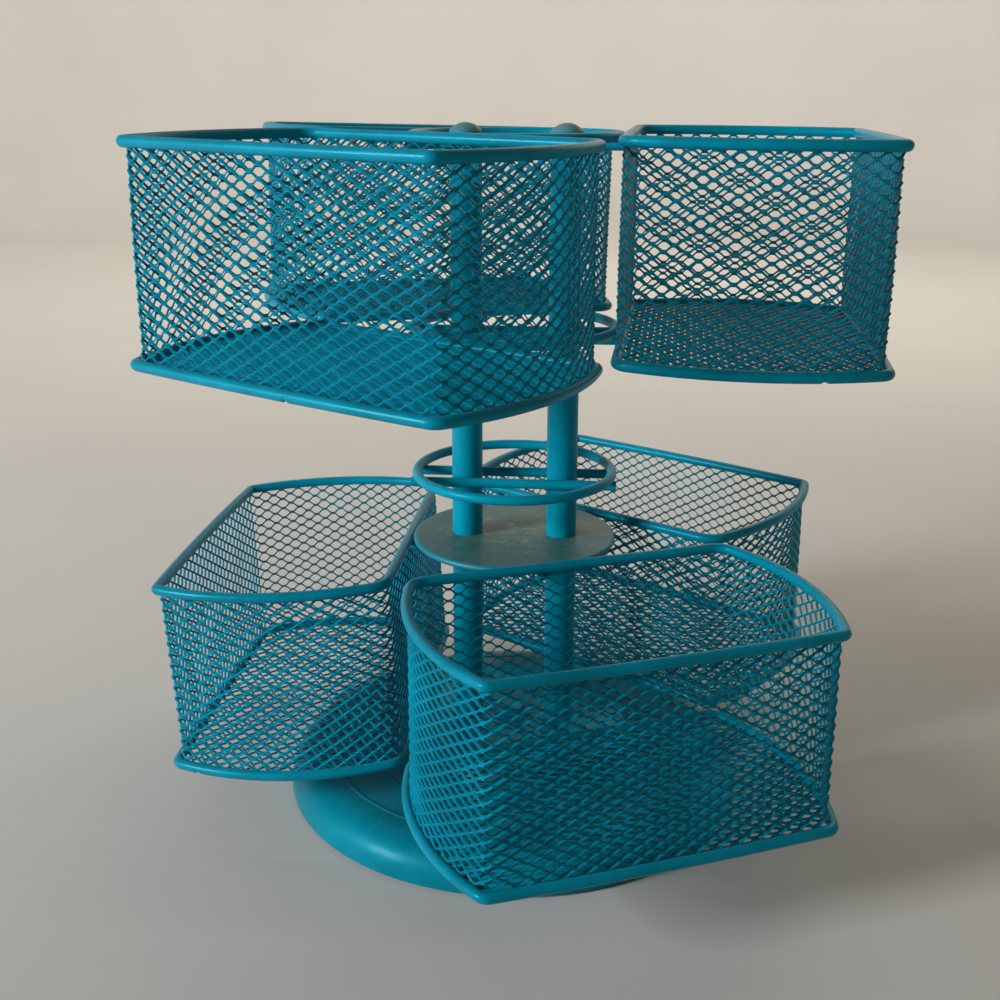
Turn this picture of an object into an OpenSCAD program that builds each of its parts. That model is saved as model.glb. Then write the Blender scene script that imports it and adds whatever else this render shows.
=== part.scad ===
// Two-tier revolving storage caddy: six mesh baskets carried by two posts on a turntable.
// Millimetres, +Z up, origin on the table at the turntable's centre, posts along X.

/* [Posts and hub] */
// Outside diameter of each post
post_d = 12.7; // [10:0.1:16]
// Distance between the two posts' centrelines
post_spacing = 39.4; // [34:0.2:48]
// Height of the posts' open top ends
post_top = 275.2; // [255:0.1:300]
// Outside radius shared by the middle plate and the wire rings
hub_r = 42.4; // [40:0.1:50]
// Height of the middle plate's flat top
plate_top = 111; // [100:0.5:120]
// Height of the loose-standing ring above the middle plate
spacer_ring_z = 138.2; // [128:0.1:150]
// Wire diameter of the rings and their bars
hub_wire_d = 4; // [3:0.1:4.5]

/* [Baskets] */
// Width of each basket along its straight inner edge
inner_w = 130; // [110:1:132]
// Width of each basket at its outer corners
outer_w = 129; // [110:1:150]
// Depth of each basket from inner edge to outer corners
depth = 91.4; // [70:0.1:110]
// How far each side bows outwards
side_bow = 10.5; // [4:0.5:11]
// How far the outer edge bows outwards
outer_bow = 1.4; // [0.5:0.1:6]
// Radius of the two inner corners
inner_corner_r = 8.5; // [5:0.5:16]
// Radius of the two outer corners
outer_corner_r = 2.5; // [2.5:0.5:10]
// Height between the rim wire and the foot wire
basket_h = 75.2; // [50:0.2:76]
// Wire diameter of the basket rims and feet
basket_wire_d = 4.2; // [3:0.1:5]
// How far the foot wire stands proud of the rim above it
foot_flare = 1; // [0.5:0.1:2]
// Radius of the foot wire's two inner corners
foot_inner_corner_r = 7; // [4:0.5:12]
// Radius of the foot wire's two outer corners
foot_outer_corner_r = 4.5; // [3:0.5:12]
// Thickness of the mesh walls
mesh_t = 1.2; // [1:0.1:2]
// How far the mesh walls stand inside the middle of the rim wire
mesh_inset = 0.8; // [0:0.1:1]
// Height of the lower baskets' rims
lower_rim_z = 110.2; // [104:0.1:116]
// Height of the upper baskets' rims
upper_rim_z = 273.6; // [250:0.1:290]

/* [Base] */
// Outside radius of the base dish
base_r = 97; // [85:1:110]
// Height of the base dish's flat top
base_top = 16; // [15:0.5:20]
// Radius of the dish's rounded shoulder
shoulder_r = 14; // [8:0.5:14]
// Thickness of the pressed sheet
sheet_t = 1.2; // [0.8:0.1:1.6]

/* [Hidden] */
$fn = 64;

teal = [0.02, 0.42, 0.50];
dark_teal = [0.02, 0.32, 0.38];
steel = [0.62, 0.64, 0.66];

// Each basket's own stance: facing angle, sideways slip, lift, droop about its inner edge,
// distance out from the hub, and roll about the direction it faces
LOWER_LEFT = [178.5, -8.3, -2.6, 3.5, 0.2, 0];
LOWER_FRONT = [292.2, 9.1, 1.8, -0.3, 1, -0.2];
LOWER_BACK = [56.4, -4.5, 0, -1.2, 0.5, 0.2];
UPPER_RIGHT = [-3.9, -3.6, 0.8, 0.4, 0.2, 0];
UPPER_FRONT = [-120.6, -0.6, 0, 0.3, 0, -0.5];
UPPER_BACK = [117, -1, -0.8, 0.3, 0, 1.4];

post_r = post_d / 2;
post_wall = 1.2;
post_bore_r = post_r - post_wall;
wire_r = basket_wire_d / 2;
hub_wire_r = hub_wire_d / 2;
weld_bite = 0.1;
// Where the baskets' inner edges stand, so that each rim wire is welded to the hub
rim_inner_y = hub_r + wire_r - weld_bite;

// Ring frames: two bars hug the posts below each ring
bar_y = post_r + hub_wire_r - weld_bite / 2;
bar_drop = 3.2;
bar_half = sqrt(pow(hub_r, 2) - pow(bar_y, 2)) + 0.5;
upper_foot_ring_z = upper_rim_z - basket_h + 0.4;
top_ring_z = upper_rim_z;

// Longest distance between two stations along a bent wire
arc_step = 10;
weld_r = 1.6;
weld_l = 9;
weld_inset = 0.5;
plate_bead_r = 1.4;

// Bearing: balls between two grooved races, with the turntable on top
ball_r = 3;
ball_clearance = 0.05;
ball_track_r = 39;
ball_count = 14;
race_half_w = 5;
race_gap = 2;
ball_z = base_top + 4.5;
turntable_z = ball_z + 4.5;
turntable_t = 1.5;
turntable_r = 48;
turntable_top = turntable_z + turntable_t;
foot_pad_t = 1.2;
pivot_r = 3;
pivot_head_r = 5.5;
pivot_head_h = 3.2;
pivot_gap = 0.1;
washer_t = 1;
plug_h = 12;
screw_r = 2;
screw_head_r = 3.6;
screw_head_h = 2.4;

// ---- Basket outline: every arc as [centre x, centre y, radius, start angle, end angle] ----

function bow_radius(chord, bow) = (pow(chord, 2) / 4 + pow(bow, 2)) / (2 * bow);

// The crossing, right of the line between two circles' centres, of those circles
function crossing(c1, r1, c2, r2) =
    let (gap = norm(c2 - c1),
         along = (pow(r1, 2) - pow(r2, 2) + pow(gap, 2)) / (2 * gap),
         across = sqrt(pow(r1, 2) - pow(along, 2)),
         dir = (c2 - c1) / gap)
    c1 + along * dir + across * [dir[1], -dir[0]];

function heading(from, to) = atan2(to[1] - from[1], to[0] - from[0]);

function basket_arcs(flare, inner_r, outer_r) =
    let (wi = inner_w / 2 + flare,
         wo = outer_w / 2 + flare,
         reach = depth + flare,
         chord = norm([wo - wi, reach]),
         side_r = bow_radius(chord, side_bow),
         side_c = [(wi + wo) / 2, reach / 2] - [reach, wi - wo] / chord * (side_r - side_bow),
         edge_r = bow_radius(2 * wo, outer_bow),
         edge_c = [0, reach + outer_bow - edge_r],
         in_c = [side_c[0] + sqrt(pow(side_r - inner_r, 2) - pow(inner_r - side_c[1], 2)), inner_r],
         out_c = crossing(edge_c, edge_r - outer_r, side_c, side_r - outer_r),
         a_in = heading(side_c, in_c),
         a_side = heading(side_c, out_c),
         a_out = heading(edge_c, out_c))
    [[in_c[0], in_c[1], inner_r, -90, a_in],
     [side_c[0], side_c[1], side_r, a_in, a_side],
     [out_c[0], out_c[1], outer_r, a_side, a_out],
     [0, edge_c[1], edge_r, a_out, 180 - a_out],
     [-out_c[0], out_c[1], outer_r, 180 - a_out, 180 - a_side],
     [-side_c[0], side_c[1], side_r, 180 - a_side, 180 - a_in],
     [-in_c[0], in_c[1], inner_r, 180 - a_in, 270]];

// Points and their outward headings along arc a, without its last point
function arc_stations(a) =
    let (steps = max(3, ceil(a[2] * (a[4] - a[3]) * PI / 180 / arc_step)))
    [for (k = [0:steps - 1])
        let (t = a[3] + (a[4] - a[3]) * k / steps)
        [a[0] + a[2] * cos(t), a[1] + a[2] * sin(t), t]];

// All stations round a basket outline; the straight inner edge closes it
function stations(arcs) =
    [for (a = arcs) each arc_stations(a), [arcs[6][0], arcs[6][1] - arcs[6][2], 270]];

// The outline through the stations, moved outwards by grow
function outline(path, grow) =
    [for (s = path) [s[0] + grow * cos(s[2]), s[1] + grow * sin(s[2])]];

rim_path = stations(basket_arcs(0, inner_corner_r, outer_corner_r));
foot_path = stations(basket_arcs(foot_flare, foot_inner_corner_r, foot_outer_corner_r));

// A closed loop of round wire through the stations
module wire_loop(path) {
    sides = 8;
    count = len(path);
    points = [for (s = path) for (k = [0:sides - 1])
        let (out = wire_r * cos(k * 360 / sides), up = wire_r * sin(k * 360 / sides))
        [s[0] + out * cos(s[2]), s[1] + out * sin(s[2]), up]];
    faces = [for (i = [0:count - 1]) for (k = [0:sides - 1])
        let (this = i * sides, after = (i + 1) % count * sides, next = (k + 1) % sides)
        [this + k, this + next, after + next, after + k]];
    polyhedron(points, faces);
}

// Puts a basket drawn with its inner edge on X into its place on the hub
module stand(stance, rim_z) {
    rotate([0, 0, stance[0] - 90])
        translate([-stance[1], rim_inner_y + stance[4], rim_z + stance[2]])
            rotate([-stance[3], stance[5], 0])
                children();
}

module basket_mesh(stance, rim_z) {
    wall = mesh_t / 2;
    floor_z = -basket_h - wall;
    grip = 0.4;
    color(teal)
        stand(stance, rim_z)
            difference() {
                union() {
                    translate([0, 0, floor_z])
                        linear_extrude(basket_h + wall - wire_r + grip)
                            polygon(outline(rim_path, wall - mesh_inset));
                    translate([0, 0, floor_z])
                        linear_extrude(mesh_t)
                            polygon(outline(foot_path, grip - wire_r));
                }
                translate([0, 0, floor_z + mesh_t])
                    linear_extrude(basket_h)
                        polygon(outline(rim_path, -wall - mesh_inset));
            }
}

module rim_wire(stance, rim_z) {
    color(teal)
        stand(stance, rim_z)
            wire_loop(rim_path);
}

module foot_wire(stance, rim_z) {
    color(teal)
        stand(stance, rim_z)
            translate([0, 0, -basket_h])
                wire_loop(foot_path);
}

// ---- Base and bearing ----

// Half section of the domed dish, solid down to its open bottom
module dish_section(inset) {
    r = shoulder_r - inset;
    corner_x = base_r - shoulder_r;
    corner_z = base_top - shoulder_r;
    intersection() {
        translate([corner_x, corner_z])
            circle(r = r, $fn = 96);
        translate([corner_x, corner_z])
            square([shoulder_r, shoulder_r]);
    }
    translate([0, corner_z])
        square([corner_x, r]);
    translate([0, foot_pad_t])
        square([corner_x + r, corner_z - foot_pad_t]);
}

module base_dish() {
    emboss_r = 0.8;
    emboss_sink = 0.35;
    flange_w = 9;
    color(teal)
        difference() {
            rotate_extrude($fn = 128) {
                difference() {
                    dish_section(0);
                    difference() {
                        dish_section(sheet_t);
                        square([base_r, foot_pad_t + 0.01]);
                    }
                    square([base_r - flange_w, foot_pad_t + 0.02]);
                }
                translate([base_r - flange_w, foot_pad_t])
                    square([flange_w - 1, sheet_t]);
                for (r = [base_r - 17, base_r - 33])
                    translate([r, base_top - emboss_r + emboss_sink])
                        circle(r = emboss_r);
            }
            cylinder(r = pivot_r + 0.1, h = 3 * base_top, center = true);
        }
}

module base_feet() {
    pad_r = 4.2;
    color([0.12, 0.12, 0.12])
        for (a = [45:90:315])
            rotate([0, 0, a])
                translate([base_r - 5.6, 0, 0])
                    cylinder(r = pad_r, h = foot_pad_t);
}

// Half section of a bearing race between two heights, grooved for the balls
module race_section(low, high) {
    difference() {
        translate([ball_track_r - race_half_w, low])
            square([2 * race_half_w, high - low]);
        translate([ball_track_r, ball_z])
            circle(r = ball_r + ball_clearance);
    }
}

module lower_race() {
    color(steel)
        rotate_extrude()
            race_section(base_top, ball_z - race_gap / 2);
}

module upper_race() {
    color(steel)
        rotate_extrude()
            race_section(ball_z + race_gap / 2, turntable_z);
}

module at_balls() {
    for (k = [0:ball_count - 1])
        rotate([0, 0, k * 360 / ball_count])
            translate([ball_track_r, 0, ball_z])
                children();
}

module ball_cage() {
    cage_t = 1;
    color(steel)
        difference() {
            translate([0, 0, ball_z - cage_t / 2])
                difference() {
                    cylinder(r = ball_track_r + race_half_w, h = cage_t);
                    translate([0, 0, -1])
                        cylinder(r = ball_track_r - race_half_w, h = cage_t + 2);
                }
            at_balls()
                cylinder(r = ball_r + ball_clearance, h = 3 * cage_t, center = true, $fn = 32);
        }
}

module bearing_balls() {
    color("silver")
        at_balls()
            sphere(r = ball_r, $fn = 32);
}

module turntable() {
    color(dark_teal)
        difference() {
            translate([0, 0, turntable_z])
                cylinder(r = turntable_r, h = turntable_t);
            cylinder(r = pivot_r + ball_clearance, h = 2 * post_top, center = true);
            for (side = [-1, 1])
                translate([side * post_spacing / 2, 0, 0])
                    cylinder(r = screw_r + ball_clearance, h = 2 * post_top, center = true, $fn = 32);
        }
}

module pivot_bolt() {
    head_z = turntable_top + pivot_gap + washer_t;
    tail_z = base_top - sheet_t - washer_t - 6;
    color(steel) {
        translate([0, 0, head_z])
            cylinder(r = pivot_head_r, h = pivot_head_h, $fn = 6);
        translate([0, 0, tail_z])
            cylinder(r = pivot_r, h = head_z - tail_z);
    }
}

module washer(z) {
    translate([0, 0, z])
        difference() {
            cylinder(r = pivot_head_r + 1.5, h = washer_t);
            translate([0, 0, -1])
                cylinder(r = pivot_r + ball_clearance, h = washer_t + 2);
        }
}

module pivot_washers() {
    color(steel) {
        washer(turntable_top + pivot_gap);
        washer(base_top - sheet_t - washer_t);
    }
}

module pivot_nut() {
    nut_h = 4;
    color(steel)
        translate([0, 0, base_top - sheet_t - washer_t - nut_h])
            difference() {
                cylinder(r = pivot_head_r, h = nut_h, $fn = 6);
                translate([0, 0, -1])
                    cylinder(r = pivot_r + 0.02, h = nut_h + 2);
            }
}

// ---- Posts ----

module at_post(side) {
    translate([side * post_spacing / 2, 0, 0])
        children();
}

module post(side) {
    color(teal)
        at_post(side)
            translate([0, 0, turntable_top])
                difference() {
                    cylinder(r = post_r, h = post_top - turntable_top);
                    translate([0, 0, -1])
                        cylinder(r = post_bore_r, h = post_top);
                }
}

module post_plugs() {
    color(steel)
        for (side = [-1, 1])
            at_post(side)
                translate([0, 0, turntable_top])
                    difference() {
                        cylinder(r = post_bore_r - 0.02, h = plug_h);
                        translate([0, 0, -1])
                            cylinder(r = screw_r + 0.02, h = plug_h + 2, $fn = 32);
                    }
}

module post_screws() {
    shank = turntable_t + plug_h - 2;
    color(steel)
        for (side = [-1, 1])
            at_post(side) {
                translate([0, 0, turntable_z])
                    cylinder(r = screw_r, h = shank, $fn = 32);
                translate([0, 0, turntable_z - screw_head_h])
                    cylinder(r = screw_head_r, h = screw_head_h, $fn = 32);
            }
}

module end_cap(side) {
    dome_h = 3.2;
    dome_r = (pow(post_r, 2) + pow(dome_h, 2)) / (2 * dome_h);
    insert_h = 8;
    color([0.45, 0.55, 0.56])
        at_post(side)
            translate([0, 0, post_top]) {
                intersection() {
                    translate([0, 0, dome_h - dome_r])
                        sphere(r = dome_r, $fn = 96);
                    cylinder(r = post_r, h = dome_h);
                }
                translate([0, 0, -insert_h])
                    cylinder(r = post_bore_r - 0.02, h = insert_h);
            }
}

// ---- Middle plate and ring frames ----

module middle_plate() {
    color(dark_teal)
        difference() {
            rotate_extrude($fn = 128) {
                translate([0, plate_top - sheet_t])
                    square([hub_r - plate_bead_r, sheet_t]);
                translate([hub_r - plate_bead_r, plate_top - plate_bead_r])
                    circle(r = plate_bead_r, $fn = 32);
            }
            for (side = [-1, 1])
                at_post(side)
                    translate([0, 0, plate_top - 4 * sheet_t])
                        cylinder(r = post_r + 0.05, h = 8 * sheet_t);
        }
}

module hub_ring(z) {
    color(teal)
        translate([0, 0, z])
            rotate_extrude($fn = 128)
                translate([hub_r - hub_wire_r, 0])
                    circle(r = hub_wire_r, $fn = 32);
}

module hub_bar(z, side) {
    color(dark_teal)
        translate([-bar_half, side * bar_y, z - bar_drop])
            rotate([0, 90, 0])
                cylinder(r = hub_wire_r, h = 2 * bar_half, $fn = 32);
}

// One weld bead where a basket's inner edge meets the hub, just under the contact
module weld_bead(stance, z) {
    spread = stance[4] / 2;
    rotate([0, 0, stance[0]])
        translate([hub_r - weld_inset + spread, 0, z + stance[2] - spread])
            rotate([90, 0, 0])
                cylinder(r = weld_r + spread, h = weld_l, center = true, $fn = 32);
}

module lower_welds() {
    color(teal)
        for (stance = [LOWER_LEFT, LOWER_FRONT, LOWER_BACK])
            weld_bead(stance, plate_top - plate_bead_r - weld_r);
}

module upper_welds() {
    color(teal)
        for (stance = [UPPER_RIGHT, UPPER_FRONT, UPPER_BACK])
            for (z = [top_ring_z, upper_foot_ring_z])
                weld_bead(stance, z - hub_wire_r + weld_r / 4);
}

base_dish();
base_feet();
lower_race();
ball_cage();
bearing_balls();
upper_race();
turntable();
pivot_bolt();
pivot_washers();
pivot_nut();
post_screws();
post(-1);  // left_post
post(1);  // right_post
post_plugs();
end_cap(-1);  // left_cap
end_cap(1);  // right_cap
middle_plate();
hub_ring(spacer_ring_z);  // spacer_ring
hub_bar(spacer_ring_z, -1);  // spacer_front_bar
hub_bar(spacer_ring_z, 1);  // spacer_back_bar
hub_ring(upper_foot_ring_z);  // upper_foot_ring
hub_bar(upper_foot_ring_z, -1);  // upper_foot_front_bar
hub_bar(upper_foot_ring_z, 1);  // upper_foot_back_bar
hub_ring(top_ring_z);  // top_ring
hub_bar(top_ring_z, -1);  // top_front_bar
hub_bar(top_ring_z, 1);  // top_back_bar
lower_welds();
upper_welds();
basket_mesh(LOWER_LEFT, lower_rim_z);  // lower_left_mesh
rim_wire(LOWER_LEFT, lower_rim_z);  // lower_left_rim
foot_wire(LOWER_LEFT, lower_rim_z);  // lower_left_foot
basket_mesh(LOWER_FRONT, lower_rim_z);  // lower_front_mesh
rim_wire(LOWER_FRONT, lower_rim_z);  // lower_front_rim
foot_wire(LOWER_FRONT, lower_rim_z);  // lower_front_foot
basket_mesh(LOWER_BACK, lower_rim_z);  // lower_back_mesh
rim_wire(LOWER_BACK, lower_rim_z);  // lower_back_rim
foot_wire(LOWER_BACK, lower_rim_z);  // lower_back_foot
basket_mesh(UPPER_RIGHT, upper_rim_z);  // upper_right_mesh
rim_wire(UPPER_RIGHT, upper_rim_z);  // upper_right_rim
foot_wire(UPPER_RIGHT, upper_rim_z);  // upper_right_foot
basket_mesh(UPPER_FRONT, upper_rim_z);  // upper_front_mesh
rim_wire(UPPER_FRONT, upper_rim_z);  // upper_front_rim
foot_wire(UPPER_FRONT, upper_rim_z);  // upper_front_foot
basket_mesh(UPPER_BACK, upper_rim_z);  // upper_back_mesh
rim_wire(UPPER_BACK, upper_rim_z);  // upper_back_rim
foot_wire(UPPER_BACK, upper_rim_z);  // upper_back_foot
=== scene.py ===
"""Two-tier revolving storage caddy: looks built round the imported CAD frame.

Metres, +Z up, origin on the table at the turntable's centre, posts along X.
Lengths written in millimetres are multiplied by MM where they are used.
"""

import math

import bpy
import numpy as np
from mathutils import Matrix, Vector


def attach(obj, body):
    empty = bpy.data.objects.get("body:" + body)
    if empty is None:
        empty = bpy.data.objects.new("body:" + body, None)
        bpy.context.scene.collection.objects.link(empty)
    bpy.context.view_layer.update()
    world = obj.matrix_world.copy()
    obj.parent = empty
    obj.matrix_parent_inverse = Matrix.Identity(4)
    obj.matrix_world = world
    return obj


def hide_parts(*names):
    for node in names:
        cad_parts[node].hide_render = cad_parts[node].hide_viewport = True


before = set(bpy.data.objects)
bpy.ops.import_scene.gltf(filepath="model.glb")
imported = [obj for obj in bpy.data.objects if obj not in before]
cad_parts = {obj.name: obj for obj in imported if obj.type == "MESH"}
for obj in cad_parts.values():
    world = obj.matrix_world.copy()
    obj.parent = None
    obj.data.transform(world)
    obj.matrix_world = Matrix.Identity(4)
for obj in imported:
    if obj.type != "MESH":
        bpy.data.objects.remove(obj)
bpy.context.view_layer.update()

MM = 0.001
scene = bpy.context.scene

# ---------------------------------------------------------------------------
# Sizes shared with the CAD model, in millimetres
# ---------------------------------------------------------------------------

INNER_W, OUTER_W, DEPTH = 130.0, 129.0, 91.4
SIDE_BOW, OUTER_BOW = 10.5, 1.4
RIM_INNER_CORNER, RIM_OUTER_CORNER = 8.5, 2.5
FOOT_INNER_CORNER, FOOT_OUTER_CORNER = 7.0, 4.5
FOOT_FLARE = 1.0
BASKET_H = 75.2
WALL_INSET = 0.8  # how far the mesh walls stand inside the middle of the rim wire
WALL_OUTER_CORNER = 4.5  # the stretched sheet rounds the outer corners more widely than the wire
WIRE_R = 2.05  # a hair inside the CAD wire, which is drawn with flat facets
RIM_INNER_Y = 44.4
LOWER_RIM_Z, UPPER_RIM_Z = 110.2, 273.6

# Each basket's facing angle, sideways slip, lift, droop about its inner edge, distance out
# from the hub, roll about the direction it faces, and rim height
BASKETS = {
    "lower_left": (178.5, -8.3, -2.6, 3.5, 0.2, 0.0, LOWER_RIM_Z),
    "lower_front": (292.2, 9.1, 1.8, -0.3, 1.0, -0.2, LOWER_RIM_Z),
    "lower_back": (56.4, -4.5, 0.0, -1.2, 0.5, 0.2, LOWER_RIM_Z),
    "upper_right": (-3.9, -3.6, 0.8, 0.4, 0.2, 0.0, UPPER_RIM_Z),
    "upper_front": (-120.6, -0.6, 0.0, 0.3, 0.0, -0.5, UPPER_RIM_Z),
    "upper_back": (117.0, -1.0, -0.8, 0.3, 0.0, 1.4, UPPER_RIM_Z),
}

# ---------------------------------------------------------------------------
# Basket outline
# ---------------------------------------------------------------------------


def bow_radius(chord, bow):
    return (chord * chord / 4 + bow * bow) / (2 * bow)


def heading(a, b):
    return math.degrees(math.atan2(b[1] - a[1], b[0] - a[0]))


def basket_arcs(flare, inner_r, outer_r):
    """The outline's seven arcs as (centre x, centre y, radius, start, end)."""
    wi, wo, reach = INNER_W / 2 + flare, OUTER_W / 2 + flare, DEPTH + flare
    chord = math.hypot(wo - wi, reach)
    side_r = bow_radius(chord, SIDE_BOW)
    push = (side_r - SIDE_BOW) / chord
    side_c = ((wi + wo) / 2 - reach * push, reach / 2 - (wi - wo) * push)
    edge_r = bow_radius(2 * wo, OUTER_BOW)
    edge_c = (0.0, reach + OUTER_BOW - edge_r)
    in_x = side_c[0] + math.sqrt((side_r - inner_r) ** 2 - (inner_r - side_c[1]) ** 2)
    in_c = (in_x, inner_r)
    r1, r2 = edge_r - outer_r, side_r - outer_r
    gap = math.dist(side_c, edge_c)
    along = (r1 * r1 - r2 * r2 + gap * gap) / (2 * gap)
    across = math.sqrt(r1 * r1 - along * along)
    ux, uy = (side_c[0] - edge_c[0]) / gap, (side_c[1] - edge_c[1]) / gap
    out_c = (edge_c[0] + along * ux + across * uy, edge_c[1] + along * uy - across * ux)
    a_in, a_side, a_out = heading(side_c, in_c), heading(side_c, out_c), heading(edge_c, out_c)
    return [
        (in_c[0], in_c[1], inner_r, -90, a_in),
        (side_c[0], side_c[1], side_r, a_in, a_side),
        (out_c[0], out_c[1], outer_r, a_side, a_out),
        (0.0, edge_c[1], edge_r, a_out, 180 - a_out),
        (-out_c[0], out_c[1], outer_r, 180 - a_out, 180 - a_side),
        (-side_c[0], side_c[1], side_r, 180 - a_side, 180 - a_in),
        (-in_c[0], in_c[1], inner_r, 180 - a_in, 270),
    ]


INNER_EDGE = 7  # number of the outline's straight piece, which comes after its seven arcs


class Outline:
    """A closed basket outline that can be read at any fraction of its length."""

    def __init__(self, arcs):
        self.arcs = arcs
        self.half = arcs[0][0]
        lengths = [a[2] * math.radians(a[4] - a[3]) for a in arcs] + [2 * self.half]
        self.ends = np.cumsum(lengths)
        self.starts = self.ends - lengths
        self.length = self.ends[-1]

    def at(self, piece, share):
        """Points and outward normals at a share of each given piece."""
        x, y = np.zeros(len(piece)), np.zeros(len(piece))
        nx, ny = np.zeros(len(piece)), np.zeros(len(piece))
        for i, (cx, cy, r, a0, a1) in enumerate(self.arcs):
            m = piece == i
            t = np.radians(a0 + (a1 - a0) * share[m])
            nx[m], ny[m] = np.cos(t), np.sin(t)
            x[m], y[m] = cx + r * nx[m], cy + r * ny[m]
        m = piece == INNER_EDGE
        x[m], y[m], nx[m], ny[m] = self.half * (2 * share[m] - 1), 0.0, 0.0, -1.0
        return np.stack([x, y], 1), np.stack([nx, ny], 1)

    def split(self, s):
        """The piece and the share of that piece for distances along the outline."""
        s = np.mod(s, self.length)
        piece = np.minimum(np.searchsorted(self.ends, s, side="right"), INNER_EDGE)
        return piece, (s - self.starts[piece]) / (self.ends[piece] - self.starts[piece])


RIM = Outline(basket_arcs(0.0, RIM_INNER_CORNER, RIM_OUTER_CORNER))
WALL = Outline(basket_arcs(-WALL_INSET, RIM_INNER_CORNER, WALL_OUTER_CORNER))
WALL_FOOT = Outline(basket_arcs(FOOT_FLARE - WALL_INSET, FOOT_INNER_CORNER, FOOT_OUTER_CORNER))
FOOT = Outline(basket_arcs(FOOT_FLARE, FOOT_INNER_CORNER, FOOT_OUTER_CORNER))


def stance(name):
    """The matrix that puts a basket drawn with its inner edge on X into its place."""
    angle, slip, lift, droop, spread, roll, rim_z = BASKETS[name]
    return (
        Matrix.Rotation(math.radians(angle - 90), 4, "Z")
        @ Matrix.Translation(Vector((-slip, RIM_INNER_Y + spread, rim_z + lift)) * MM)
        @ Matrix.Rotation(math.radians(roll), 4, "Y")
        @ Matrix.Rotation(math.radians(-droop), 4, "X")
    )


# ---------------------------------------------------------------------------
# Mesh helpers
# ---------------------------------------------------------------------------


class Soup:
    """Gathers vertices and quads of many strands into one mesh."""

    def __init__(self):
        self.verts, self.faces, self.count = [], [], 0

    def sweep(self, rings, closed):
        """Joins rings (stations x sides x 3) into a tube, capped if it is open."""
        n, sides = rings.shape[:2]
        base = self.count
        self.verts.append(rings.reshape(-1, 3))
        i = np.arange(n if closed else n - 1)[:, None]
        k = np.arange(sides)[None, :]
        j, m = (i + 1) % n, (k + 1) % sides
        quads = np.stack([i * sides + k, i * sides + m, j * sides + m, j * sides + k], -1)
        self.faces.extend((quads.reshape(-1, 4) + base).tolist())
        if not closed:
            self.faces.append([base + q for q in range(sides)][::-1])
            self.faces.append([base + (n - 1) * sides + q for q in range(sides)])
        self.count += n * sides

    def piece(self, name, material, matrix, sharp=None):
        mesh = bpy.data.meshes.new(name)
        verts = np.concatenate(self.verts) * MM
        mesh.from_pydata(verts.tolist(), [], self.faces)
        mesh.transform(matrix)
        mesh.shade_smooth()
        if sharp:
            mesh.set_sharp_from_angle(angle=sharp)
        mesh.materials.append(material)
        obj = bpy.data.objects.new(name, mesh)
        scene.collection.objects.link(obj)
        return obj


# ---------------------------------------------------------------------------
# Materials
# ---------------------------------------------------------------------------


class Graph:
    """Short hand for building a material's node tree."""

    def __init__(self, name):
        self.material = bpy.data.materials.new(name)
        self.material.use_nodes = True
        self.tree = self.material.node_tree
        self.shader = self.tree.nodes["Principled BSDF"]
        coords = self.tree.nodes.new("ShaderNodeTexCoord")
        self.place = coords.outputs["Object"]

    def node(self, kind, inputs=None, **settings):
        made = self.tree.nodes.new(kind)
        for key, value in settings.items():
            setattr(made, key, value)
        for key, value in (inputs or {}).items():
            socket = made.inputs[key]
            if isinstance(value, bpy.types.NodeSocket):
                self.tree.links.new(value, socket)
            else:
                socket.default_value = value
        return made

    def noise(self, scale, detail=3.0, rough=0.55, stretch=None, offset=0.0):
        vector = self.place
        if stretch or offset:
            vector = self.node(
                "ShaderNodeMapping",
                {"Vector": self.place, "Scale": stretch or (1, 1, 1), "Location": (offset,) * 3},
            ).outputs[0]
        return self.node(
            "ShaderNodeTexNoise",
            {"Vector": vector, "Scale": scale, "Detail": detail, "Roughness": rough},
        ).outputs["Fac"]

    def ramp(self, fac, stops):
        made = self.node("ShaderNodeValToRGB", {"Fac": fac})
        ramp = made.color_ramp
        while len(ramp.elements) < len(stops):
            ramp.elements.new(0.5)
        for element, (at, colour) in zip(ramp.elements, stops):
            element.position = at
            element.color = (*colour, 1.0)
        return made.outputs["Color"]

    def band(self, fac, low, high, out_low=0.0, out_high=1.0):
        return self.node(
            "ShaderNodeMapRange",
            {"Value": fac, "From Min": low, "From Max": high, "To Min": out_low, "To Max": out_high},
        ).outputs[0]

    def mix(self, fac, a, b):
        made = self.node("ShaderNodeMix", data_type="RGBA")
        for key, value in (("Factor", fac), ("A", a), ("B", b)):
            socket = next(
                s for s in made.inputs
                if s.name == key and s.type == ("VALUE" if key == "Factor" else "RGBA")
            )
            if isinstance(value, bpy.types.NodeSocket):
                self.tree.links.new(value, socket)
            else:
                socket.default_value = value if key == "Factor" else (*value, 1.0)
        return next(s for s in made.outputs if s.type == "RGBA")

    def times(self, a, b):
        return self.node("ShaderNodeMath", {0: a, 1: b}, operation="MULTIPLY").outputs[0]

    def reach_from_axis(self):
        """Distance from the upright axis through the object's origin."""
        flat = self.node("ShaderNodeMapping", {"Vector": self.place, "Scale": (1.0, 1.0, 0.0)})
        length = self.node("ShaderNodeVectorMath", {"Vector": flat.outputs[0]}, operation="LENGTH")
        return length.outputs["Value"]

    def bump(self, height, distance, strength=1.0, after=None):
        inputs = {"Height": height, "Distance": distance, "Strength": strength}
        if after is not None:
            inputs["Normal"] = after
        return self.node("ShaderNodeBump", inputs).outputs[0]

    def set(self, **sockets):
        for key, value in sockets.items():
            socket = self.shader.inputs[key.replace("_", " ")]
            if isinstance(value, bpy.types.NodeSocket):
                self.tree.links.new(value, socket)
            else:
                socket.default_value = (*value, 1.0) if isinstance(value, tuple) else value
        return self.material


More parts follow.
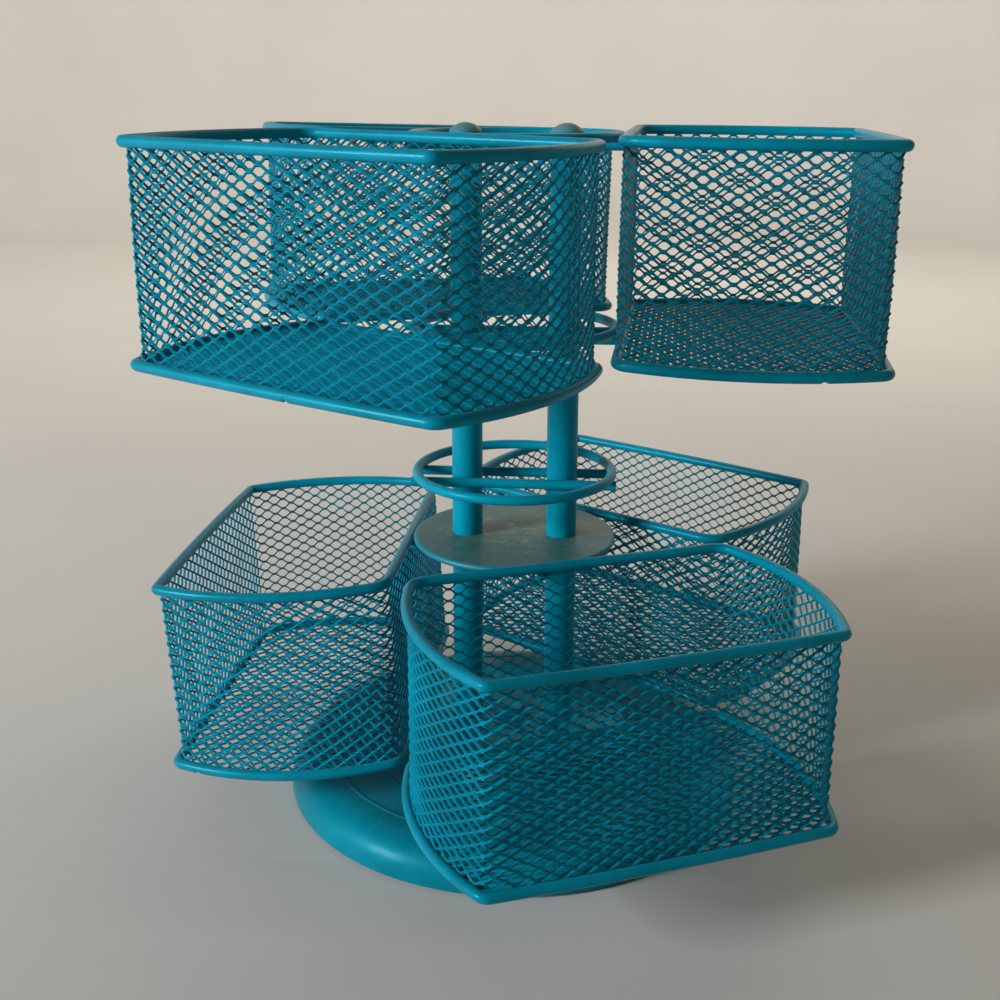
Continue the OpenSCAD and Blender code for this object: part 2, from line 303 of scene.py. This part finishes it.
def powder_coat(name, shades, rough, coat):
    """Teal powder coat: soft mottling, dust in the lows and orange-peel in the gloss."""
    deep, mid, pale = shades
    g = Graph(name)
    broad = g.noise(38.0, 4.0, 0.6)
    fine = g.noise(420.0, 3.0, 0.5, offset=3.1)
    peel = g.noise(1500.0, 2.0, 0.5, offset=7.7)
    colour = g.ramp(g.band(broad, 0.30, 0.72), [(0.0, deep), (0.55, mid), (1.0, pale)])
    dust = g.band(fine, 0.60, 0.80, 0.0, 0.16)
    colour = g.mix(dust, colour, tuple(min(1.0, c * 1.6 + 0.05) for c in mid))
    roughness = g.band(broad, 0.25, 0.75, *rough)
    relief = g.bump(peel, 0.00012, 0.35, g.bump(fine, 0.0002, 0.25))
    return g.set(
        Base_Color=colour,
        Roughness=roughness,
        Normal=relief,
        Coat_Weight=coat,
        Coat_Roughness=0.14,
        Specular_IOR_Level=0.35,
        Specular_Tint=(0.05, 0.75, 1.0),
    )


def metal(name, dark, light, rough=(0.24, 0.42)):
    """Plated steel with fine streaks and dull patches."""
    g = Graph(name)
    patch = g.noise(160.0, 4.0, 0.6)
    streak = g.noise(900.0, 2.0, 0.5, stretch=(1.0, 1.0, 0.12))
    colour = g.ramp(patch, [(0.25, dark), (0.75, light)])
    return g.set(
        Base_Color=colour,
        Metallic=1.0,
        Roughness=g.band(patch, 0.2, 0.8, *rough),
        Normal=g.bump(streak, 0.0001, 0.3),
    )


# Deep, middle and pale shade of the paint on each group of parts. The hub's shades are the basket
# teal made about a fifth paler: painted light standing in for the light on the posts, rings and
# bars.
BASKET_TEAL = (0.0, 0.190, 0.275), (0.0, 0.240, 0.355), (0.0, 0.285, 0.425)
HUB_TEAL_PAINTED_LIGHT = (0.0, 0.235, 0.335), (0.0, 0.290, 0.420), (0.0, 0.335, 0.490)
BASE_TEAL = (0.0, 0.160, 0.215), (0.0, 0.200, 0.275), (0.0, 0.240, 0.335)

coat_mesh = powder_coat("powder_mesh", BASKET_TEAL, (0.34, 0.5), 0.045)
coat_wire = powder_coat("powder_wire", BASKET_TEAL, (0.32, 0.48), 0.06)
# Painted light: the hub parts get a paler copy of the basket teal, not a paint of their own
coat_hub_painted_light = powder_coat("powder_hub_painted_light", HUB_TEAL_PAINTED_LIGHT, (0.36, 0.5), 0.04)
coat_base = powder_coat("powder_base", BASE_TEAL, (0.36, 0.48), 0.03)
steel = metal("zinc_plate", (0.42, 0.43, 0.44), (0.68, 0.69, 0.70))
ball_steel = metal("polished_balls", (0.60, 0.60, 0.61), (0.78, 0.78, 0.79), (0.08, 0.16))


def plate_material():
    """The middle plate: satin teal worn to grey-green, palest between the posts."""
    g = Graph("plate_scuffed")
    broad = g.noise(55.0, 5.0, 0.65)
    fine = g.noise(300.0, 4.0, 0.6, offset=1.7)
    rubbed = g.noise(120.0, 6.0, 0.7, stretch=(1.0, 2.4, 1.0), offset=4.2)
    reach = g.reach_from_axis()
    worn = g.band(reach, 0.008, 0.034, 1.0, 0.30)
    colour = g.ramp(broad, [(0.3, (0.016, 0.108, 0.118)), (0.7, (0.034, 0.158, 0.162))])
    scuff = g.times(g.band(rubbed, 0.44, 0.62, 0.0, 0.75), worn)
    colour = g.mix(scuff, colour, (0.150, 0.215, 0.155))
    speck = g.times(g.band(fine, 0.50, 0.72, 0.0, 0.75), worn)
    colour = g.mix(speck, colour, (0.27, 0.32, 0.22))
    rolled_edge = g.band(reach, 0.0395, 0.0415)
    colour = g.mix(rolled_edge, colour, (0.0, 0.200, 0.270))
    return g.set(
        Base_Color=colour,
        Roughness=g.band(broad, 0.3, 0.7, 0.42, 0.62),
        Normal=g.bump(fine, 0.0002, 0.3),
        Coat_Weight=0.08,
        Coat_Roughness=0.3,
    )


def cap_material():
    """Grey-teal moulded plastic with a faint grain."""
    g = Graph("cap_plastic")
    grain = g.noise(900.0, 3.0, 0.6)
    broad = g.noise(120.0, 3.0, 0.5)
    colour = g.ramp(broad, [(0.3, (0.060, 0.205, 0.235)), (0.7, (0.095, 0.265, 0.300))])
    return g.set(
        Base_Color=colour,
        Roughness=g.band(grain, 0.3, 0.7, 0.40, 0.55),
        Normal=g.bump(grain, 0.0001, 0.35),
    )


def rubber_material():
    g = Graph("foot_rubber")
    grain = g.noise(700.0, 3.0, 0.6)
    colour = g.ramp(grain, [(0.3, (0.012, 0.012, 0.012)), (0.7, (0.030, 0.030, 0.029))])
    return g.set(
        Base_Color=colour,
        Roughness=g.band(grain, 0.3, 0.7, 0.65, 0.85),
        Normal=g.bump(grain, 0.0003, 0.5),
    )


plate_paint = plate_material()
cap_plastic = cap_material()
foot_rubber = rubber_material()

# Nodes that aren't painted like the hub
FINISHES = {
    "base_dish": coat_base,
    "base_feet": foot_rubber,
    "lower_race": steel,
    "ball_cage": steel,
    "bearing_balls": ball_steel,
    "upper_race": steel,
    "post_screws": steel,
    "post_plugs": steel,
    "left_cap": cap_plastic,
    "right_cap": cap_plastic,
    "middle_plate": plate_paint,
}
# Parts not listed get the hub paint, the paler painted-light copy of the basket teal
for node_name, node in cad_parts.items():
    finish = FINISHES.get(node_name, coat_hub_painted_light)
    node.data.materials.clear()
    node.data.materials.append(finish)

# ---------------------------------------------------------------------------
# Baskets: expanded-metal walls and floor, with round rim and foot wires
# ---------------------------------------------------------------------------

PITCH = 8.05  # distance between openings along a row
ROW_STEP = 2.40  # distance between neighbouring strands
WAVE = 0.96  # how far a strand swings up and down
STRAND_W = 1.0  # width of a strand's flat face
STRAND_T = 0.58  # thickness of the sheet that the strands are cut from
STRAND_TILT = math.radians(44)  # how far a strand's flat face leans up from the wall
BOND_HALF = 0.85  # half length of the joint between two strands

# Shares of one pitch and heights of the stations of a strand's wave
WAVE_AT = np.array([-BOND_HALF, BOND_HALF, PITCH / 2 - BOND_HALF, PITCH / 2 + BOND_HALF]) / PITCH
WAVE_UP = np.array([-WAVE, -WAVE, WAVE, WAVE])
BOND_GAP = ROW_STEP - 2 * WAVE  # distance between two strands' middles at their joint
FLARE_H = 7.0  # height over which the wall swings out to the foot wire
FIRST_STRAND = 0.3  # height of the lowest strand above the middle of the foot wire
STRANDS_SPAN = BASKET_H - 1.0  # height that the strands cover, up into the rim wire
FLOOR_MARGIN = 0.9  # gap between the foot wire's middle and the first strand of the floor
END_MARGIN = 0.2  # closest that a bend comes to the end of a floor strand
EDGE_SAMPLES = 4000  # points read along the foot wire to find where floor strands end

# Corners of a strand's flat section, as shares of half its width and half its thickness
SECTION = np.array([(1.0, -1.0), (-1.0, -1.0), (-1.0, 0.55), (-0.78, 1.0), (0.78, 1.0), (1.0, 0.55)])


def strand_rings(centre, out, up, wave):
    """Tilted flat strand sections: centre, outward and upward directions per station."""
    lean = -wave[:, None] / WAVE * BOND_GAP / 2 * math.tan(STRAND_TILT)
    centre = centre - out * lean
    flat = up * math.cos(STRAND_TILT) - out * math.sin(STRAND_TILT)
    face = up * math.sin(STRAND_TILT) + out * math.cos(STRAND_TILT)
    wide, thick = SECTION[None, :, :1] * STRAND_W / 2, SECTION[None, :, 1:] * STRAND_T / 2
    return centre[:, None] + flat[:, None] * wide + face[:, None] * thick


def wall_ripple(share, height):
    """Slight waviness of the stretched sheet, fading out at the two wires."""
    turn = share * 2 * math.pi
    broad = 0.16 * np.sin(turn * 9 + 1.3)
    fine = 0.12 * np.sin(turn * 17 + height / 13)
    return (broad + fine) * np.sin(np.clip(height / BASKET_H, 0, 1) * math.pi)


def wall_strands(soup):
    """Closed wavy strands all round the basket, from the foot wire up to the rim."""
    periods = round(WALL.length / PITCH)
    rows = round(STRANDS_SPAN / ROW_STEP)
    step = STRANDS_SPAN / rows
    for row in range(rows + 1):
        phase = 0.5 * (row % 2)
        share = (np.arange(periods)[:, None] + WAVE_AT[None, :] + phase).ravel() / periods
        wave = np.tile(WAVE_UP, periods)
        piece, part = WALL.split(share * WALL.length)
        top, normal = WALL.at(piece, part)
        low, _ = WALL_FOOT.at(piece, part)
        height = FIRST_STRAND + row * step + wave
        blend = np.clip(1 - height / FLARE_H, 0, 1) ** 2
        ripple = wall_ripple(share, height)
        plan = top + (low - top) * blend[:, None] + normal * ripple[:, None]
        centre = np.column_stack([plan, height - BASKET_H])
        out = np.column_stack([normal, np.zeros(len(wave))])
        up = np.tile([0.0, 0.0, 1.0], (len(wave), 1))
        soup.sweep(strand_rings(centre, out, up, wave), closed=True)


def floor_strands(soup):
    """Wavy strands across the floor, each running from foot wire to foot wire."""
    piece, part = FOOT.split(np.linspace(0, FOOT.length, EDGE_SAMPLES, endpoint=False))
    edge, _ = FOOT.at(piece, part)
    low_y, high_y = edge[:, 1].min(), edge[:, 1].max()
    rows = int((high_y - low_y) / ROW_STEP)
    right = edge[edge[:, 0] > 0]
    right = right[np.argsort(right[:, 1])]
    for row in range(rows):
        y = low_y + FLOOR_MARGIN + row * ROW_STEP
        reach = float(np.interp(y, right[:, 1], right[:, 0]))
        count = int(reach / PITCH) + 2
        at = np.arange(-count, count + 1)[:, None] + WAVE_AT[None, :] + 0.5 * (row % 2)
        x = at.ravel() * PITCH
        wave = np.tile(WAVE_UP, 2 * count + 1)
        keep = np.abs(x) < reach - END_MARGIN
        ends = np.array([-reach, reach])
        end_wave = np.interp(ends, x, wave)
        x = np.concatenate([ends[:1], x[keep], ends[1:]])
        wave = np.concatenate([end_wave[:1], wave[keep], end_wave[1:]])
        centre = np.column_stack([x, y + wave, np.full(len(x), -BASKET_H)])
        up = np.tile([0.0, 1.0, 0.0], (len(x), 1))
        out = np.tile([0.0, 0.0, 1.0], (len(x), 1))
        soup.sweep(strand_rings(centre, out, up, wave), closed=False)


SEAM_HALF = 1.0  # half length of the pinch under a wire's butt joint
SEAM_DEPTH = 0.26  # share of the wire's radius
SEAM_LIP = 0.04  # share of the radius that bulges on either side of the pinch
MAX_TURN = math.radians(9)  # most that a wire bends between two of its sections

# Where each basket's foot wire is joined, as a share of its length from the inner right corner
FOOT_SEAMS = {
    "lower_left": 0.534,
    "lower_front": 0.71,
    "lower_back": 0.42,
    "upper_right": 0.167,
    "upper_front": 0.382,
    "upper_back": 0.55,
}


def wire_rings(outline, z, seam=None, sides=14, spacing=4.0):
    """Round sections along a bent wire, pinched where its ends are welded if a seam is given."""
    shares = []
    lengths = outline.ends - outline.starts
    for i, length in enumerate(lengths):
        turn = 0 if i == INNER_EDGE else math.radians(outline.arcs[i][4] - outline.arcs[i][3])
        steps = max(int(length / spacing) + 1, math.ceil(turn / MAX_TURN))
        shares += [(i, k / steps) for k in range(steps)]
    along = np.array([outline.starts[i] + lengths[i] * k for i, k in shares])
    pinch = np.zeros(len(along))
    if seam is not None:
        at_seam = seam * outline.length
        along = np.unique(np.concatenate([along, at_seam + np.arange(-6, 7) * SEAM_HALF / 3]))
        off = (along - at_seam) / SEAM_HALF
        pinch = SEAM_DEPTH * np.exp(-(off**2)) - SEAM_LIP * np.exp(-((np.abs(off) - 1.5) ** 2) * 3)
    plan, normal = outline.at(*outline.split(along))
    t = (np.arange(sides) * 2 * math.pi / sides)[None, :]
    underside = np.clip(0.15 - np.sin(t), 0, 1)
    radius = WIRE_R * (1 - pinch[:, None] * underside)
    ring = np.zeros((len(plan), sides, 3))
    ring[:, :, :2] = plan[:, None, :] + (radius * np.cos(t))[:, :, None] * normal[:, None, :]
    ring[:, :, 2] = z + radius * np.sin(t)
    return ring


def build_basket(basket):
    """One basket's net, rim wire and foot wire, each in place of its CAD node."""
    place = stance(basket)
    net_soup, rim_soup, foot_soup = Soup(), Soup(), Soup()
    wall_strands(net_soup)
    floor_strands(net_soup)
    rim_soup.sweep(wire_rings(RIM, 0.0), closed=True)
    foot_soup.sweep(wire_rings(FOOT, -BASKET_H, FOOT_SEAMS[basket]), closed=True)
    net = net_soup.piece(basket + "_net", coat_mesh, place, sharp=math.radians(42))
    rim = rim_soup.piece(basket + "_rim_wire", coat_wire, place)
    foot = foot_soup.piece(basket + "_foot_wire", coat_wire, place)
    for made, node_name in ((net, "_mesh"), (rim, "_rim"), (foot, "_foot")):
        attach(made, "carousel")
        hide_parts(basket + node_name)


for basket in BASKETS:
    build_basket(basket)

# ---------------------------------------------------------------------------
# Stage: pale floor, soft light, camera
# ---------------------------------------------------------------------------


def backdrop():
    """A wide pale floor that curves up into a low wall all round."""
    flat, bend, top, turns, steps = 2.2, 0.7, 1.6, 96, 12
    rings = [(flat, 0.0)]
    for k in range(1, steps + 1):
        a = math.pi / 2 * k / steps
        rings.append((flat + bend * math.sin(a), bend - bend * math.cos(a)))
    rings.append((flat + bend, top))
    verts, faces = [(0.0, 0.0, 0.0)], []
    for k in range(turns):
        a = 2 * math.pi * k / turns
        verts += [(r * math.cos(a), r * math.sin(a), z) for r, z in rings]
    n = len(rings)
    for k in range(turns):
        a, b = 1 + k * n, 1 + (k + 1) % turns * n
        faces.append((0, a, b))
        faces += [(a + i, a + i + 1, b + i + 1, b + i) for i in range(n - 1)]
    mesh = bpy.data.meshes.new("floor")
    mesh.from_pydata(verts, [], faces)
    mesh.shade_smooth()
    g = Graph("floor_paper")
    tone = g.noise(3.0, 4.0, 0.5)
    g.set(
        Base_Color=g.ramp(tone, [(0.3, (0.60, 0.57, 0.545)), (0.7, (0.64, 0.61, 0.585))]),
        Roughness=0.9,
    )
    mesh.materials.append(g.material)
    obj = bpy.data.objects.new("floor", mesh)
    scene.collection.objects.link(obj)


def soft_light(name, at, towards, size, power, colour):
    lamp = bpy.data.lights.new(name, "AREA")
    lamp.shape = "RECTANGLE"
    lamp.size, lamp.size_y = size
    lamp.energy = power
    lamp.color = colour
    obj = bpy.data.objects.new(name, lamp)
    scene.collection.objects.link(obj)
    obj.location = at
    obj.rotation_mode = "QUATERNION"
    obj.rotation_quaternion = (Vector(towards) - Vector(at)).to_track_quat("-Z", "Y")


backdrop()
centre = (0.0, 0.0, 0.14)
soft_light("key", (-1.60, -0.94, 0.66), centre, (0.5, 0.5), 38.0, (0.92, 0.97, 1.0))
soft_light("fill", (1.5, -0.6, 1.0), centre, (1.0, 1.0), 0.8, (1.0, 0.93, 0.68))
soft_light("back", (0.5, 1.5, 1.1), centre, (1.6, 0.8), 4.5, (1.0, 0.94, 0.74))
soft_light("wall", (0.0, 0.9, 1.9), (0.0, 2.9, 0.5), (3.0, 0.5), 46.0, (1.0, 0.95, 0.84))

world = bpy.data.worlds.new("world")
world.use_nodes = True
world.node_tree.nodes["Background"].inputs["Color"].default_value = (1.0, 0.95, 0.72, 1.0)
world.node_tree.nodes["Background"].inputs["Strength"].default_value = 0.06
scene.world = world
scene.view_settings.view_transform = "Standard"

CAMERA_AT = (0.03055, -0.50041, 0.29048)
YAW, PITCH_DOWN, ROLL = -0.0638, 0.2847, -0.0047
FOCAL = 45.26
SHIFT = (-0.0112, -0.0425)


def aim_camera():
    data = bpy.data.cameras.new("camera")
    data.lens = FOCAL
    data.sensor_width = 36.0
    data.shift_x, data.shift_y = SHIFT
    data.clip_start, data.clip_end = 0.01, 30.0
    cam = bpy.data.objects.new("camera", data)
    scene.collection.objects.link(cam)
    ahead = Vector((
        math.sin(YAW) * math.cos(PITCH_DOWN),
        math.cos(YAW) * math.cos(PITCH_DOWN),
        -math.sin(PITCH_DOWN),
    ))
    level = Vector((math.cos(YAW), -math.sin(YAW), 0.0))
    down = ahead.cross(level)
    right = level * math.cos(ROLL) + down * math.sin(ROLL)
    below = down * math.cos(ROLL) - level * math.sin(ROLL)
    turn = Matrix((right, -below, -ahead)).transposed().to_4x4()
    cam.matrix_world = Matrix.Translation(CAMERA_AT) @ turn
    scene.camera = cam


aim_camera()
